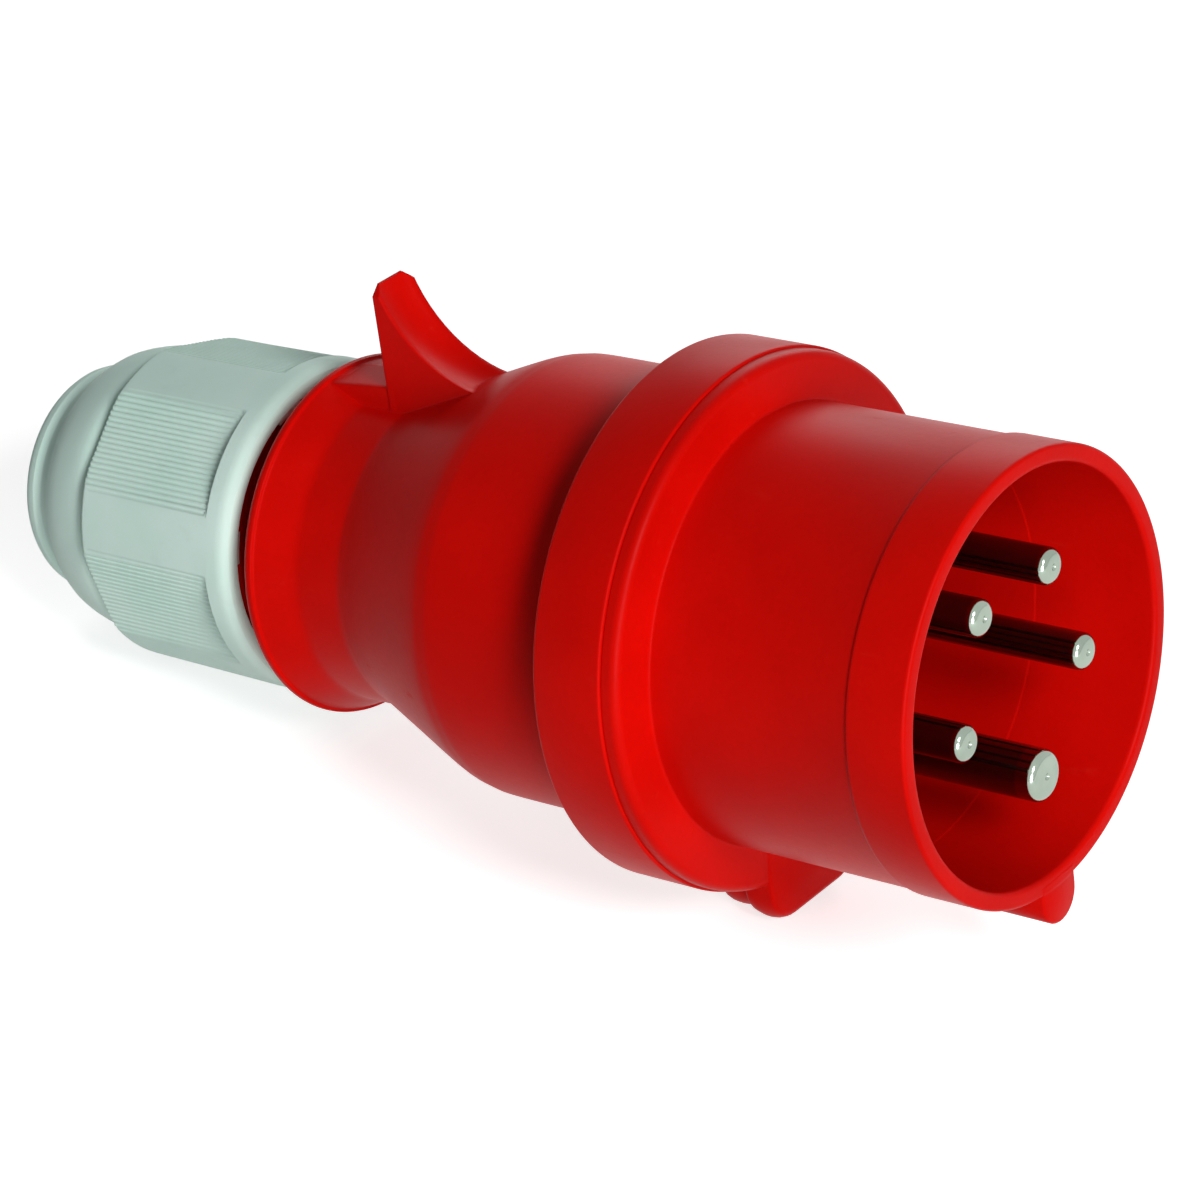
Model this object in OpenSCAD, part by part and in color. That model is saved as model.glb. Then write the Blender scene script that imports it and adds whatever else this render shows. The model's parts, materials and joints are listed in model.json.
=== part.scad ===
// Industrial pin and sleeve plug, three phases with neutral and earth.
// Every piece is drawn about the plug's own axis: z is the distance behind
// the rim of the sleeve, +x points to the thumb fin and -x to the lug.
// lay() then puts the plug down as it lies on a table, resting on the foot
// of its lug and on the rear edge of its gland nut, with the mating end
// towards +X and a little off the table.

/* [Sleeve] */
// Outer diameter of the front sleeve
sleeve_d = 59.2; // [57:0.1:62]
// Wall of the front sleeve
sleeve_wall = 2.1; // [1.8:0.1:2.6]
// Length of the sleeve in front of the flange
sleeve_len = 39.1; // [36:0.1:46]
// Length of the raised collar at the mouth
collar_len = 8.5; // [4:0.5:12]
// Height of the collar above the sleeve
collar_h = 0.4; // [0.1:0.1:1]
// Rounding of the rim's edges
rim_round = 0.5; // [0.2:0.1:0.8]
// Depth from the rim to the contact face
socket_depth = 38; // [34:0.5:39]
// Depth of the fine step on the sleeve's inner wall
step_depth = 18.5; // [6:0.5:24]
// Height of that step
step_h = 0.12; // [0.05:0.01:0.2]

/* [Locating key] */
// Width of the locating key
key_w = 7.6; // [5:0.1:10]
// Height of the key above the sleeve
key_h = 5.6; // [4.2:0.1:7]
// Length of the key at full height
key_len = 13; // [10:0.5:20]
// Length over which the key runs out into the sleeve
key_ramp = 10; // [6:0.5:14]

/* [Flange] */
// Outer diameter of the flange ring
flange_d = 72.8; // [71:0.1:78]
// Length of the flange ring
flange_len = 10.8; // [9:0.1:14]
// Least wall between the root of the sleeve and the carrier's flange
seat_web = 1.8; // [1.2:0.1:1.9]
// Thickness of the front disc
disc_t = 2.5; // [2.3:0.1:3.5]
// Step down from the flange ring to the front disc
disc_step = 0.4; // [0.2:0.1:1.2]
// Rounding of the front disc
disc_round = 1.2; // [0.6:0.1:1.6]
// Slope of the front disc's face from its root to its rounding
disc_slope = 0.3; // [0:0.1:0.6]
// Parting gap between the disc and the ring
seam_gap = 0.3; // [0.2:0.1:0.6]
// Least wall of the flange ring behind the seal
ring_back = 1.4; // [1:0.1:2.4]
// Wall of the flange ring
ring_wall = 3.2; // [2.6:0.1:3.4]
// Wall of the front shell's spigot inside the ring
spigot_wall = 2.7; // [2:0.1:2.8]

/* [Retention lug] */
// Width of the lug
lug_w = 20; // [12:0.5:22]
// Height of the lug above the flange
lug_h = 5.1; // [3.6:0.1:6]
// Length of the lug on the front shell
lug_front_len = 4.3; // [3.8:0.1:5]
// Distance of the lug's front face behind the root of the sleeve
lug_inset = 0.4; // [0.1:0.1:0.8]
// Rounding of the corners of the lugs
lug_round = 5; // [1:0.1:6]
// Radius of the foot of the front lug, seen from the side
lug_barrel = 3.5; // [2.5:0.1:8]
// Radius of the foot of the rear lug, seen from the side
lug_rear_barrel = 5; // [3:0.1:9]
// Height of the lug on the rear shell above the flange
lug_rear_h = 4.8; // [2:0.1:6]
// Length of the lug on the rear shell
lug_rear_len = 5.4; // [3:0.1:6]
// Width of the lug on the rear shell
lug_rear_w = 18; // [10:0.1:20]

/* [Rear shell] */
// Outer diameter of the domed body
dome_d = 61; // [60.4:0.1:63]
// Length of the domed body behind the flange
dome_len = 24; // [20:0.5:30]
// Rounding between the dome and the cone
dome_round = 8; // [3:0.5:10]
// Slope of the cone, degrees from the axis
cone_angle = 21.5; // [18:0.5:26]
// Outer diameter of the waist
neck_d = 44.8; // [44:0.1:48]
// Length from the front of the waist to the back of the lip
neck_len = 15; // [13:0.1:20]
// Wall of the rear shell
shell_wall = 2.6; // [2:0.1:3]
// Diameter of the rear lip
lip_d = 50.8; // [49.8:0.1:54]
// Length of the lip and its run-out into the waist
lip_len = 8.2; // [6:0.1:10]
// Rounding of the lip
lip_round = 1.2; // [0.5:0.1:2]

/* [Thumb fin] */
// Width of the fin
fin_w = 7.6; // [6:0.1:10]
// Height of the fin above the waist
fin_h = 17.9; // [14:0.1:22]
// Distance from the back of the lip to the back of the fin
fin_gap = 12.3; // [11:0.1:14]
// Radius of the hollow front of the fin
fin_hollow_r = 19.6; // [18.6:0.1:21]
// Thickness of the fin at its top edge
fin_tip = 0.6; // [0.5:0.1:1.5]
// Height of the centre of the hollow above the top of the fin
fin_hollow_up = 6.1; // [5:0.1:8]
// Chamfer on the fin's top corners
fin_chamfer = 1.4; // [0.5:0.1:2]
// Depth of the groove down the front of the fin
fin_groove = 0.8; // [0.3:0.1:1]
// Width of the ridge on each side of the groove
fin_ridge = 1.3; // [0.8:0.1:2]
// Height of the web behind the fin above the waist
web_h = 3.2; // [1:0.1:3.8]

/* [Gland] */
// Outer diameter of the gland thread
thread_d = 39; // [38:0.1:40]
// Length of the threaded spigot
thread_len = 13.8; // [12:0.1:16]
// Pitch of the gland thread
thread_pitch = 3; // [2:0.5:4]
// Depth of the thread's grooves
thread_depth = 0.8; // [0.4:0.1:1]
// Wall of the threaded spigot
thread_wall = 3; // [2.5:0.1:3.2]
// Diameter of the hole in the seat of the grommet
seat_hole_d = 25; // [22:0.5:28]
// Thickness of the grommet's seat
seat_t = 2.4; // [1.5:0.1:4]
// Distance of the grommet's seat behind the lip
seat_depth = 5.8; // [5:0.1:8]
// Radial clearance between the nut and the thread
thread_clear = 0.08; // [0.05:0.01:0.1]

/* [Gland nut] */
// Gap between the lip and the nut as it lies
nut_gap = 4.4; // [4.3:0.1:6]
// Diameter of the nut at its front shoulder
nut_d = 47.4; // [47:0.1:50]
// Taper of the nut's body on the radius
nut_taper = 0.4; // [0:0.1:1]
// Distance over the wrench flats
nut_flats = 44.5; // [44:0.1:46]
// Number of wrench flats
nut_sides = 6; // [4:1:8]
// Turn of the flats away from the fin, degrees
nut_turn = 15; // [0:1:25]
// Length of the plain collar in front of the flats
nut_collar_len = 3.9; // [2:0.1:5]
// Chamfer on the nut's front edge
nut_chamfer = 1; // [0.5:0.1:1.5]
// Length of the flats
nut_flat_len = 23.7; // [20:0.1:28]
// Diameter of the second ring behind the flats
nut_ring_d = 42.4; // [42:0.1:43]
// Length of the second ring
nut_ring_len = 10.8; // [9:0.1:13]
// Least wall of the nut over the thread
nut_wall = 0.8; // [0.6:0.1:0.9]
// Depth of the groove in front of the second ring
nut_groove = 0.7; // [0.3:0.1:1]
// Diameter at the back of the second ring
nut_ring_back_d = 38.6; // [37:0.1:40]
// Diameter of the end ring
nut_end_d = 33.4; // [32:0.1:36]
// Length of the nut behind the second ring
nut_end_len = 8; // [6:0.1:10]
// Diameter of the nut's cable hole
nut_hole_d = 23; // [20:0.5:24]
// Thickness of the nut's end wall
nut_end_t = 15; // [10:0.5:16]
// Diameter of the counterbore in the nut's mouth
nut_mouth_d = 42.4; // [41:0.2:43]
// Depth of the counterbore
nut_mouth_len = 2.2; // [1:0.1:3]
// Number of notches in the nut's mouth
nut_notches = 6; // [4:1:8]
// Width of each notch, degrees
notch_angle = 13; // [8:1:18]
// Depth of the notches beyond the counterbore
notch_h = 0.6; // [0.3:0.1:0.6]

/* [Contacts] */
// Diameter of the circle of contacts
pin_circle_d = 28.2; // [27:0.1:30]
// Diameter of the phase and neutral pins
pin_d = 5; // [4.6:0.1:5.4]
// Diameter of the earth pin
earth_d = 7; // [6.6:0.1:7.4]
// Angle from the earth pin to the outer pins
outer_angle = 77.2; // [72:0.1:80]
// Angle from the fin side to the inner pins
inner_angle = 34.3; // [30:0.1:38]
// Distance of the pin tips behind the rim
pin_recess = 1.7; // [1:0.1:4]
// Distance of the earth pin's tip behind the rim
earth_recess = 0.2; // [0:0.1:1]
// Rounding of the pin tips
tip_round = 0.8; // [0.3:0.1:1.2]
// Diameter of the dimple in each pin's end
dimple_d = 0.9; // [0.5:0.1:1.5]
// Extra diameter of the pins where they sit in the carrier
pin_root_extra = 1; // [0.6:0.1:1.2]
// Wall of the terminal barrels beyond the pin
barrel_wall = 1.7; // [1.4:0.1:2]
// Diameter of the wire hole in each terminal
wire_d = 4.4; // [3.5:0.1:4.6]
// Depth of the wire hole
wire_depth = 11; // [8:0.5:11]
// Diameter of the terminal screws
screw_d = 4; // [3:0.1:4]
// Diameter of the terminal screw heads
screw_head_d = 6; // [5:0.1:6.4]
// Height of the terminal screw heads
screw_head_h = 2; // [1.5:0.1:2.5]
// Length of the terminal screws under the head
screw_len = 4.6; // [4:0.1:5]
// Distance of the terminal screws behind the carrier
screw_pos = 5.8; // [4:0.1:7]

/* [Carrier and seals] */
// Clearance round pieces that are pushed together
fit = 0.15; // [0.1:0.01:0.2]
// Thickness of the carrier's front boss behind the contact face
boss_t = 3; // [2.6:0.1:3.6]
// Thickness of the carrier's flange
carrier_flange_t = 7.6; // [6:0.1:8]
// Depth of the pin roots in the carrier
root_len = 6; // [4:0.1:7]
// Diameter of the terminal block
block_d = 52; // [50:0.1:53]
// Length of the terminal block
block_len = 13.4; // [12.6:0.1:16]
// Thickness of the block's back wall behind the barrels
block_back = 2; // [1.4:0.1:3]
// Thickness of the ring seal
seal_t = 1.6; // [1:0.1:2]
// Inner diameter of the ring seal
seal_id = 56.4; // [55.6:0.1:58]
// Diameter of the grommet's bore
cable_d = 15; // [10:0.5:18]
// Wall of the clamping fingers
finger_wall = 1.7; // [1.2:0.1:2]
// Length of the clamping fingers
finger_len = 12.9; // [10:0.1:13]
// Length of the ring that carries the fingers
cage_ring_len = 3; // [2:0.1:3]
// Number of clamping fingers
fingers = 8; // [6:1:10]
// Width of the slots between the fingers
finger_slot = 3; // [2:0.1:4]
// Thickness of the thrust washer
washer_t = 1.5; // [1:0.1:2]
// Play between the thrust washer and its seat in the nut
washer_play = 0.2; // [0.1:0.1:0.3]
// Diameter of the carrier screw
carrier_screw_d = 4; // [3:0.1:5]

/* [Hidden] */
$fn = 96;
eps = 0.01;
// radii
sleeve_r = sleeve_d / 2;
sleeve_ri = sleeve_r - sleeve_wall;
collar_r = sleeve_r + collar_h;
flange_r = flange_d / 2;
disc_r = flange_r - disc_step;
ring_ri = flange_r - ring_wall;
spigot_r = ring_ri - fit;
spigot_ri = spigot_r - spigot_wall;
// the seal is never narrower than twice its thickness
seal_ri = min(seal_id / 2, spigot_r - 2 * seal_t);
dome_r = dome_d / 2;
neck_r = neck_d / 2;
lip_r = lip_d / 2;
thread_r = thread_d / 2;
thread_ri = thread_r - thread_wall;
key_tip = sleeve_r + key_h;
lug_foot = flange_r + lug_h;
lug_rear_foot = flange_r + lug_rear_h;
pin_circle_r = pin_circle_d / 2;
// stations behind the rim
s_disc = sleeve_len + disc_t;
s_ring = s_disc + seam_gap;
s_seat = socket_depth + boss_t;
s_carrier = s_seat + carrier_flange_t;
s_seal = s_carrier + seal_t;
// the carrier's flange starts behind the sleeve's wall, and the ring covers the seal
s_wide = max(s_seat, sleeve_len + seat_web);
s_flange = max(s_ring + flange_len, s_seal + ring_back);
s_block = s_carrier + block_len;
s_dome = s_flange + dome_len;
cone_drop = (dome_r - neck_r) / tan(cone_angle);
s_neck = s_dome + cone_drop;
s_lip = s_neck + neck_len;
s_thread = s_lip + thread_len;
s_grommet = s_lip + seat_depth;
s_nut = s_lip + nut_gap;
s_flats = s_nut + nut_collar_len;
s_nut_edge = s_flats + nut_flat_len;
s_nut_ring = s_nut_edge + nut_ring_len;
s_nut_end = s_nut_ring + nut_end_len;
s_washer = s_nut_end - nut_end_t;
s_cage = s_thread + cage_ring_len + finger_len;
s_fin = s_lip - fin_gap;
// lug
s_lug = sleeve_len + lug_inset;
s_lug_back = s_lug + lug_front_len;
s_rear_lug = s_lug_back + seam_gap;
s_lug_mid = s_lug + lug_front_len / 2;
s_rear_mid = s_rear_lug + lug_rear_len / 2;
// nut
nut_r = nut_d / 2;
nut_back_r = nut_r - nut_taper;
nut_bore_r = thread_r + thread_clear;
// the groove in front of the second ring keeps its wall over the thread
nut_ring_r = max(nut_ring_d / 2, nut_bore_r + nut_groove + nut_wall);
nut_ring_back_r = nut_ring_back_d / 2;
nut_end_r = nut_end_d / 2;
// contacts: [angle from the fin, pin radius, tip recess]
contacts = [
    [180 - outer_angle, pin_d / 2, pin_recess],
    [inner_angle, pin_d / 2, pin_recess],
    [-inner_angle, pin_d / 2, pin_recess],
    [outer_angle - 180, pin_d / 2, pin_recess],
    [180, earth_d / 2, earth_recess]
];
function root_r(c) = c[1] + pin_root_extra / 2;
function barrel_r(c) = c[1] + barrel_wall;
s_barrel = socket_depth + root_len;
s_barrel_end = s_block - block_back;
s_screw = s_carrier + screw_pos;
function arc(cx, cy, r, a0, a1, n = 6) =
    [for (i = [0:n]) [cx + r * cos(a0 + (a1 - a0) * i / n), cy + r * sin(a0 + (a1 - a0) * i / n)]];
// outside of the gland nut, from its mouth to its end
nut_outline = concat(
    [[nut_r - nut_chamfer - 0.5, s_nut], [nut_r - 0.5, s_nut + nut_chamfer],
     [nut_r, s_flats], [nut_back_r, s_nut_edge], [nut_back_r - 0.4, s_nut_edge + 0.4],
     [nut_ring_r - nut_groove / 2, s_nut_edge + 0.9],
     [max(nut_ring_r / 2 + nut_back_r / 2 - 1.1 - nut_groove, nut_bore_r + nut_wall), s_nut_edge + 1.2],
     [nut_ring_r - nut_groove, s_nut_edge + 1.9]],
    [[nut_ring_r, s_nut_edge + 2.9], [nut_ring_r - 0.3, s_nut_edge + nut_ring_len * 0.5],
     [nut_ring_r - 0.85, s_nut_edge + nut_ring_len * 0.77], [nut_ring_back_r, s_nut_ring]],
    [[nut_ring_back_r - 1.4, s_nut_ring + nut_end_len * 0.16], [nut_end_r - 0.2, s_nut_ring + nut_end_len * 0.4],
     [nut_end_r - 0.5, s_nut_ring + nut_end_len * 0.54], [nut_end_r, s_nut_ring + nut_end_len * 0.68],
     [nut_end_r - 0.3, s_nut_ring + nut_end_len * 0.82], [nut_end_r - 1.1, s_nut_ring + nut_end_len * 0.94],
     [nut_end_r - 2, s_nut_end]]);
// how the plug lies: the flats nearest the table decide what the nut rests on
flat_half = acos(min(1, nut_flats / 2 / nut_back_r));
rest_off = min([for (k = [0:nut_sides - 1]) for (e = [-flat_half, flat_half])
    let (d = abs(((nut_turn + k * 360 / nut_sides + e) % 360) - 180)) d]);
on_flat = min([for (k = [0:nut_sides - 1]) abs(((nut_turn + k * 360 / nut_sides) % 360) - 180)]) < flat_half;
nut_rest_r = on_flat ? nut_back_r * cos(rest_off) : nut_back_r;
// the round feet of the two lugs: [height below the axis, radius, station]
feet = [[lug_foot, lug_barrel, s_lug_mid], [lug_rear_foot, lug_rear_barrel, s_rear_mid]];
pitch = max([for (f = feet) let (h = f[0] - f[1] - nut_rest_r, l = s_nut_edge - f[2]) atan2(h, l) + asin(f[1] / norm([h, l]))]);
lay_z = max([for (f = feet) (f[0] - f[1]) * cos(pitch) + f[2] * sin(pitch) + f[1]]);
x_front = key_tip * sin(pitch);
x_back = max([for (p = nut_outline) p[0] * sin(pitch) + p[1] * cos(pitch)]);
lay_x = (x_back - x_front) / 2;

// puts the plug down on the table
module lay() translate([lay_x, 0, lay_z]) rotate([0, -90 - pitch, 0]) children();

// a piece turned about the plug's axis
module turned(outline) rotate_extrude() polygon(outline);

// stands at a contact's place, with +x pointing away from the plug's axis
module at_contact(c) rotate([0, 0, c[0]]) translate([pin_circle_r, 0, 0]) children();

// lug from s0 to s1 with rounded corners, and a foot rounded about the station mid
module lug(w, foot, barrel, mid, s0, s1) intersection() {
    translate([0, 0, s0]) linear_extrude(s1 - s0) {
        translate([-foot + lug_round, -w / 2]) square([foot - lug_round - sleeve_r, w]);
        translate([-foot, -w / 2 + lug_round]) square([foot - sleeve_r, w - 2 * lug_round]);
        for (y = [-1, 1]) translate([-foot + lug_round, y * (w / 2 - lug_round)]) circle(lug_round);
    }
    rotate([90, 0, 0]) linear_extrude(w + 1, center = true) {
        translate([-foot + barrel, mid]) circle(barrel);
        translate([-foot + barrel, s0 - 1]) square([foot - barrel, s1 - s0 + 2]);
    }
}

// key with a round nose that runs out into the sleeve
module key() intersection() {
    linear_extrude(key_len + key_ramp) {
        translate([-key_tip + key_w / 2, 0]) circle(key_w / 2);
        translate([-key_tip + key_w / 2, -key_w / 2]) square([key_h, key_w]);
    }
    rotate([90, 0, 0]) linear_extrude(key_w + 1, center = true)
        polygon([[-sleeve_ri - 1, -1], [-key_tip - 1, -1], [-key_tip - 1, key_len - 1], [-key_tip, key_len],
            [-sleeve_r - key_h * 0.55, key_len + key_ramp * 0.55], [-sleeve_r, key_len + key_ramp], [-sleeve_ri - 1, key_len + key_ramp]]);
}

module sleeve_housing() color([0.88, 0.04, 0.0]) lay() difference() {
    union() {
        turned(concat(
            [[0, 0]], arc(collar_r - rim_round, rim_round, rim_round, -90, 0, 4),
            [[collar_r, collar_len], [sleeve_r, collar_len + collar_h], [sleeve_r, sleeve_len]],
            [[disc_r - disc_round, sleeve_len + disc_slope]],
            arc(disc_r - disc_round, sleeve_len + disc_slope + disc_round, disc_round, -90, 0, 5),
            [[disc_r, s_disc], [spigot_r, s_disc], [spigot_r, s_carrier], [0, s_carrier]]));
        key();
        lug(lug_w, lug_foot, lug_barrel, s_lug_mid, s_lug, s_disc);
        difference() {
            lug(lug_w, lug_foot, lug_barrel, s_lug_mid, s_disc - eps, s_lug_back);
            translate([0, 0, s_disc]) cylinder(r = flange_r + seam_gap, h = lug_front_len + 1);
        }
    }
    // mouth, with the fine step on its wall, and the carrier's seat
    turned([[0, -1], [sleeve_ri + rim_round + 1, -1], [sleeve_ri, rim_round], [sleeve_ri, step_depth],
        [sleeve_ri - step_h, step_depth + step_h], [sleeve_ri - step_h, s_wide], [spigot_ri, s_wide],
        [spigot_ri, s_carrier + 1], [0, s_carrier + 1]]);
}

// thumb fin with a hollow, grooved front and chamfered top corners
module fin() {
    top = neck_r + fin_h;
    hc = top + fin_hollow_up;
    sc = s_fin - fin_tip - sqrt(pow(fin_hollow_r, 2) - pow(fin_hollow_up, 2));
    difference() {
        translate([0, 0, sc]) linear_extrude(s_fin - sc)
            polygon([[0, -fin_w / 2], [top - fin_chamfer, -fin_w / 2], [top, -fin_w / 2 + fin_chamfer],
                [top, fin_w / 2 - fin_chamfer], [top - fin_chamfer, fin_w / 2], [0, fin_w / 2]]);
        translate([hc, 0, sc]) rotate([90, 0, 0]) cylinder(r = fin_hollow_r, h = fin_w + 2, center = true);
        translate([hc - fin_groove, 0, sc]) rotate([90, 0, 0])
            cylinder(r = fin_hollow_r, h = fin_w - 2 * fin_ridge, center = true);
    }
}

module rear_housing() color([0.88, 0.04, 0.0]) lay() difference() {
    union() {
        turned(concat(
            [[0, s_ring], [flange_r - 0.3, s_ring], [flange_r, s_ring + 0.3], [flange_r, s_flange - 0.5],
             [flange_r - 0.5, s_flange], [dome_r + 0.6, s_flange], [dome_r, s_flange + 0.6]],
            arc(dome_r - dome_round, s_dome - dome_round * tan(cone_angle / 2), dome_round, 0, cone_angle, 5),
            [[neck_r + 1, s_neck - 1 / tan(cone_angle)], [neck_r + 0.35, s_neck - 0.2], [neck_r, s_neck + 1.6],
             [neck_r, s_lip - lip_len], [neck_r + (lip_r - neck_r) * 0.27, s_lip - lip_len * 0.62],
             [neck_r + (lip_r - neck_r) * 0.76, s_lip - lip_len * 0.27]],
            [[lip_r, s_lip - lip_round - 0.3]],
            arc(lip_r - lip_round, s_lip - lip_round, lip_round, 0, 90, 4),
            [[thread_r, s_lip]],
            [for (k = [0:max(0, floor((thread_len - 1.6) / thread_pitch) - 1)]) each [
                [thread_r, s_lip + 1 + k * thread_pitch],
                [thread_r - thread_depth, s_lip + 1 + k * thread_pitch + thread_depth * 0.6],
                [thread_r - thread_depth, s_lip + 1 + k * thread_pitch + thread_depth * 0.6 + 0.3],
                [thread_r, s_lip + 1 + k * thread_pitch + thread_depth * 1.2 + 0.3]]],
            [[thread_r, s_thread], [0, s_thread]]));
        fin();
        translate([0, -fin_w / 2, s_fin - 1]) cube([neck_r + web_h, fin_w, fin_gap - lip_round]);
        lug(lug_rear_w, lug_rear_foot, lug_rear_barrel, s_rear_mid, s_rear_lug, s_rear_lug + lug_rear_len);
    }
    // inside: ring, dome, waist, grommet seat and threaded spigot
    turned([[0, s_ring - 1], [ring_ri, s_ring - 1], [ring_ri, s_seal], [dome_r - shell_wall, s_seal],
        [dome_r - shell_wall, s_dome - dome_round * tan(cone_angle / 2)],
        [neck_r - shell_wall - 0.2, s_neck], [neck_r - shell_wall - 0.2, s_lip - lip_len * 0.7],
        [thread_ri, s_lip - 0.5], [seat_hole_d / 2, s_grommet - seat_t], [seat_hole_d / 2, s_grommet], [thread_ri, s_grommet],
        [thread_ri, s_thread + 1], [0, s_thread + 1]]);
}

module gland_nut() color([0.72, 0.8, 0.78]) lay() difference() {
    turned(concat([[0, s_nut]], nut_outline, [[0, s_nut_end]]));
    // mouth, thread bore and cable hole
    turned([[0, s_nut - 1], [nut_mouth_d / 2 + 0.5, s_nut - 1], [nut_mouth_d / 2, s_nut + nut_mouth_len],
        [nut_bore_r, s_nut + nut_mouth_len], [nut_bore_r, s_washer], [nut_hole_d / 2, s_washer],
        [nut_hole_d / 2, s_nut_end - 1], [nut_hole_d / 2 + 1, s_nut_end], [nut_hole_d / 2 + 1, s_nut_end + 1], [0, s_nut_end + 1]]);
    for (k = [0:nut_sides - 1]) rotate([0, 0, nut_turn + k * 360 / nut_sides])
        translate([nut_flats / 2, -nut_r, s_flats + 0.3]) cube([nut_r, 2 * nut_r, nut_flat_len + 0.9]);
    for (k = [0:nut_notches - 1]) rotate([0, 0, nut_turn + 30 + k * 360 / nut_notches])
        translate([nut_mouth_d / 2 - 1, -nut_mouth_d / 2 * sin(notch_angle / 2), s_nut - 1])
            cube([1 + notch_h, nut_mouth_d * sin(notch_angle / 2), 1 + nut_mouth_len]);
}

module contact_carrier() color([0.42, 0.01, 0]) lay() difference() {
    union() {
        translate([0, 0, socket_depth]) cylinder(r = sleeve_ri - step_h - fit, h = s_wide - socket_depth + eps);
        translate([0, 0, s_wide]) cylinder(r = spigot_ri - fit, h = s_carrier - s_wide);
    }
    for (c = contacts) at_contact(c) {
        translate([0, 0, socket_depth - 1]) cylinder(r = root_r(c) + fit / 2, h = root_len + 2);
        translate([0, 0, s_barrel]) cylinder(r = barrel_r(c) + fit, h = s_carrier - s_barrel + 1);
    }
    translate([0, 0, s_seat]) cylinder(d = carrier_screw_d + fit / 2, h = carrier_flange_t + 1);
}

module terminal_block() color([0.75, 0.74, 0.7]) lay() difference() {
    translate([0, 0, s_carrier]) cylinder(d = block_d, h = block_len);
    for (c = contacts) at_contact(c) {
        translate([0, 0, s_carrier - 1]) cylinder(r = barrel_r(c) + fit, h = s_barrel_end - s_carrier + 1);
        translate([0, 0, s_barrel_end - 1]) cylinder(d = wire_d + 1.6, h = block_back + 2);
        translate([0, 0, s_screw]) rotate([0, 90, 0]) cylinder(d = screw_head_d + 4 * fit, h = block_d / 2);
    }
    translate([0, 0, s_carrier - 1]) cylinder(d = carrier_screw_d + 2 * fit, h = block_len + 2);
}

module carrier_screw() color([0.7, 0.7, 0.72]) lay() difference() {
    union() {
        translate([0, 0, s_seat + 1]) cylinder(d = carrier_screw_d, h = s_block - s_seat - 1 + eps);
        translate([0, 0, s_block]) cylinder(r = carrier_screw_d * 0.9, h = 2.4);
    }
    translate([-carrier_screw_d, -0.4, s_block + 1.4]) cube([2 * carrier_screw_d, 0.8, 2]);
}

// contact pin with a rounded tip, a root in the carrier and a terminal barrel
module pin(c) color([0.8, 0.79, 0.74]) lay() at_contact(c) difference() {
    turned(concat(
        [[0, c[2] + dimple_d / 2], [dimple_d / 2, c[2]]],
        arc(c[1] - tip_round, c[2] + tip_round, tip_round, -90, 0, 5),
        [[c[1], socket_depth], [root_r(c), socket_depth], [root_r(c), s_barrel],
         [barrel_r(c), s_barrel], [barrel_r(c), s_barrel_end], [0, s_barrel_end]]));
    translate([0, 0, s_barrel_end - wire_depth]) cylinder(d = wire_d, h = wire_depth + 1);
    translate([0, 0, s_screw]) rotate([0, 90, 0]) cylinder(d = screw_d + fit / 2, h = barrel_r(c) + 1);
}

// slotted terminal screw that presses on the wire
module terminal_screw(c) color([0.75, 0.75, 0.76]) lay() at_contact(c)
    translate([barrel_r(c) + fit, 0, s_screw]) rotate([0, 90, 0]) difference() {
        union() {
            translate([0, 0, -screw_len]) cylinder(d = screw_d, h = screw_len + eps);
            cylinder(d = screw_head_d, h = screw_head_h);
        }
        translate([-screw_head_d, -0.4, screw_head_h - 0.9]) cube([2 * screw_head_d, 0.8, 2]);
    }

module pin_l1() pin(contacts[0]);
module pin_l2() pin(contacts[1]);
module pin_l3() pin(contacts[2]);
module pin_n() pin(contacts[3]);
module pin_pe() pin(contacts[4]);
module screw_l1() terminal_screw(contacts[0]);
module screw_l2() terminal_screw(contacts[1]);
module screw_l3() terminal_screw(contacts[2]);
module screw_n() terminal_screw(contacts[3]);
module screw_pe() terminal_screw(contacts[4]);

module housing_seal() color([0.1, 0.1, 0.1]) lay()
    turned([[seal_ri, s_carrier], [spigot_r, s_carrier], [spigot_r, s_seal], [seal_ri, s_seal]]);

// grommet with ribs round it, from its seat to the ends of the fingers
module cable_seal() color([0.12, 0.12, 0.12]) lay() {
    len = s_cage - 0.6 - s_grommet;
    ribs = 5;
    turned(concat([[cable_d / 2, s_grommet]],
        [for (k = [0:ribs - 1]) each [
            [thread_ri - fit - (k == 0 ? 0 : 0.6), s_grommet + len * k / ribs],
            [thread_ri - fit, s_grommet + len * (k + 0.2) / ribs],
            [thread_ri - fit, s_grommet + len * (k + 0.6) / ribs],
            [thread_ri - fit - 0.6, s_grommet + len * (k + 0.8) / ribs]]],
        [[thread_ri - fit - 0.6, s_grommet + len], [cable_d / 2, s_grommet + len]]));
}

// ring of clamping fingers that stands on the end of the spigot
module clamp_cage() color([0.3, 0.31, 0.31]) lay() difference() {
    turned([[thread_ri, s_thread], [thread_ri + finger_wall + 0.6, s_thread], [thread_ri + finger_wall + 0.6, s_thread + cage_ring_len],
        [thread_ri + finger_wall, s_thread + cage_ring_len], [thread_ri + finger_wall, s_cage - 2],
        [thread_ri + finger_wall - 0.6, s_cage], [thread_ri, s_cage]]);
    for (k = [0:fingers - 1]) rotate([0, 0, k * 360 / fingers])
        translate([0, -finger_slot / 2, s_thread + cage_ring_len]) cube([thread_r, finger_slot, finger_len + 1]);
}

module thrust_washer() color([0.8, 0.8, 0.78]) lay()
    translate([0, 0, s_washer - washer_play - washer_t]) difference() {
        cylinder(r = nut_bore_r - 2 * fit, h = washer_t);
        translate([0, 0, -1]) cylinder(d = nut_hole_d + 1, h = washer_t + 2);
    }

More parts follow.
